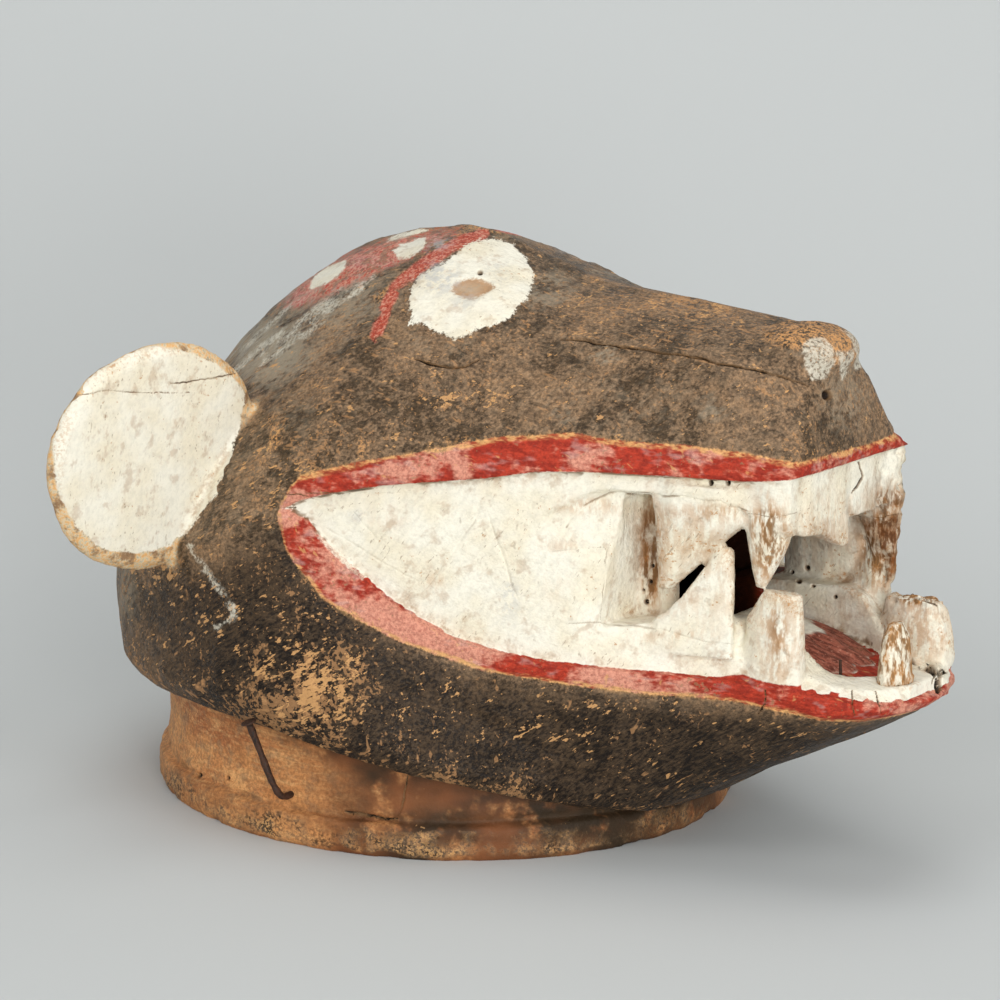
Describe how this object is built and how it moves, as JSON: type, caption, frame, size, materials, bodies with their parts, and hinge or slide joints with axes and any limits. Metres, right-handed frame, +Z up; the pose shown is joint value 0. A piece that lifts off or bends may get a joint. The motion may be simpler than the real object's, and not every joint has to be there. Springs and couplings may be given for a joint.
{
  "type": "hyena helmet mask",
  "caption": "Carved wooden helmet mask of a hyena: open jaws with teeth and tongue, disc ears, and a ring collar that goes over the wearer's head",
  "frame": {"origin": "under the middle of the bounding box, on the plane that the collar stands on", "axes": "+X towards the snout, +Y towards the wearer's left, +Z up"},
  "size_m": [0.434, 0.3892, 0.273],
  "materials": {
    "painted_wood": "dark paint and patina, with red bands, white paint and bare wood on the collar",
    "iron": "rusted",
    "tooth_wood": "dull white paint with brown stains"
  },
  "bodies": {
    "root": {"head": "painted_wood", "collar_nail": "iron", "jaw_nail": "iron", "front_tooth": "tooth_wood"}
  },
  "joints": []
}
